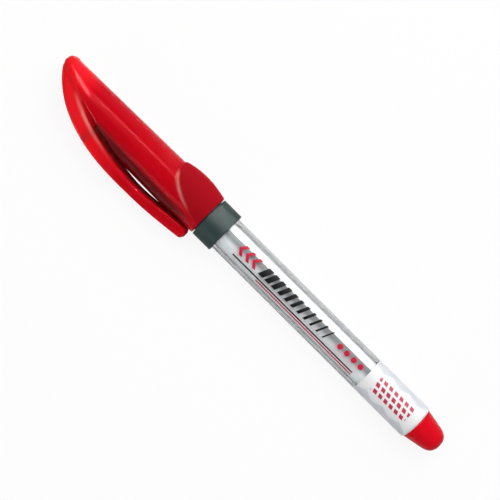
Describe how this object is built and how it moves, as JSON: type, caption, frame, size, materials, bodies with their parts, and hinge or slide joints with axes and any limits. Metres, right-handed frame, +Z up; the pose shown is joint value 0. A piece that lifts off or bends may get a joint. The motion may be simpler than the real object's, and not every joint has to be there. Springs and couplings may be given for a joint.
{
  "type": "permanent marker",
  "caption": "Slim permanent marker with a clear round barrel over a wrapped ink core, a dark collar, a red domed rear plug and a red pull-off cap with a bowed pocket clip.",
  "frame": {"origin": "on the pen's axis, half way along the bare stretch of the barrel between the collar and the label", "axes": "+X along the pen from the rear plug to the cap's tip, +Z up with the pen lying on a table, the clip leaning down towards +Y"},
  "size_m": [0.142, 0.0184, 0.0132],
  "materials": {
    "clear_plastic": "clear, polished",
    "label_film": "printed film",
    "red_plug_plastic": "glossy",
    "dark_plastic": "satin",
    "nib_fibre": "bonded fibre",
    "core_fibre": "inked fibre",
    "white_film": "thin film",
    "seal_plastic": "natural plastic",
    "red_cap_plastic": "glossy, slightly translucent"
  },
  "bodies": {
    "pen": {"barrel": "clear_plastic", "label": "label_film", "rear_plug": "red_plug_plastic", "front_section": "dark_plastic", "nib": "nib_fibre", "ink_core": "core_fibre", "core_film": "white_film"},
    "cap_liner": {"inner_cap": "seal_plastic"},
    "cap": {"cap_shell": "red_cap_plastic"},
    "clip": {"pocket_clip": "red_cap_plastic"}
  },
  "joints": [
    {"name": "cap_pull", "type": "slide", "parent": "pen", "child": "cap_liner", "axis": [1, 0, 0], "range_m": [0, 0.05]},
    {"name": "cap_turn", "type": "hinge", "parent": "cap_liner", "child": "cap", "pos_m": [0.05, 0, 0], "axis": [1, 0, 0], "continuous": true},
    {"name": "clip_flex", "type": "hinge", "parent": "cap", "child": "clip", "pos_m": [0.07847, 0.00356, -0.0014], "axis": [0, -0.3665, -0.9304], "range_deg": [0, 4], "stiffness_Nm_per_rad": 0.5, "springref_deg": -2.29}
  ]
}
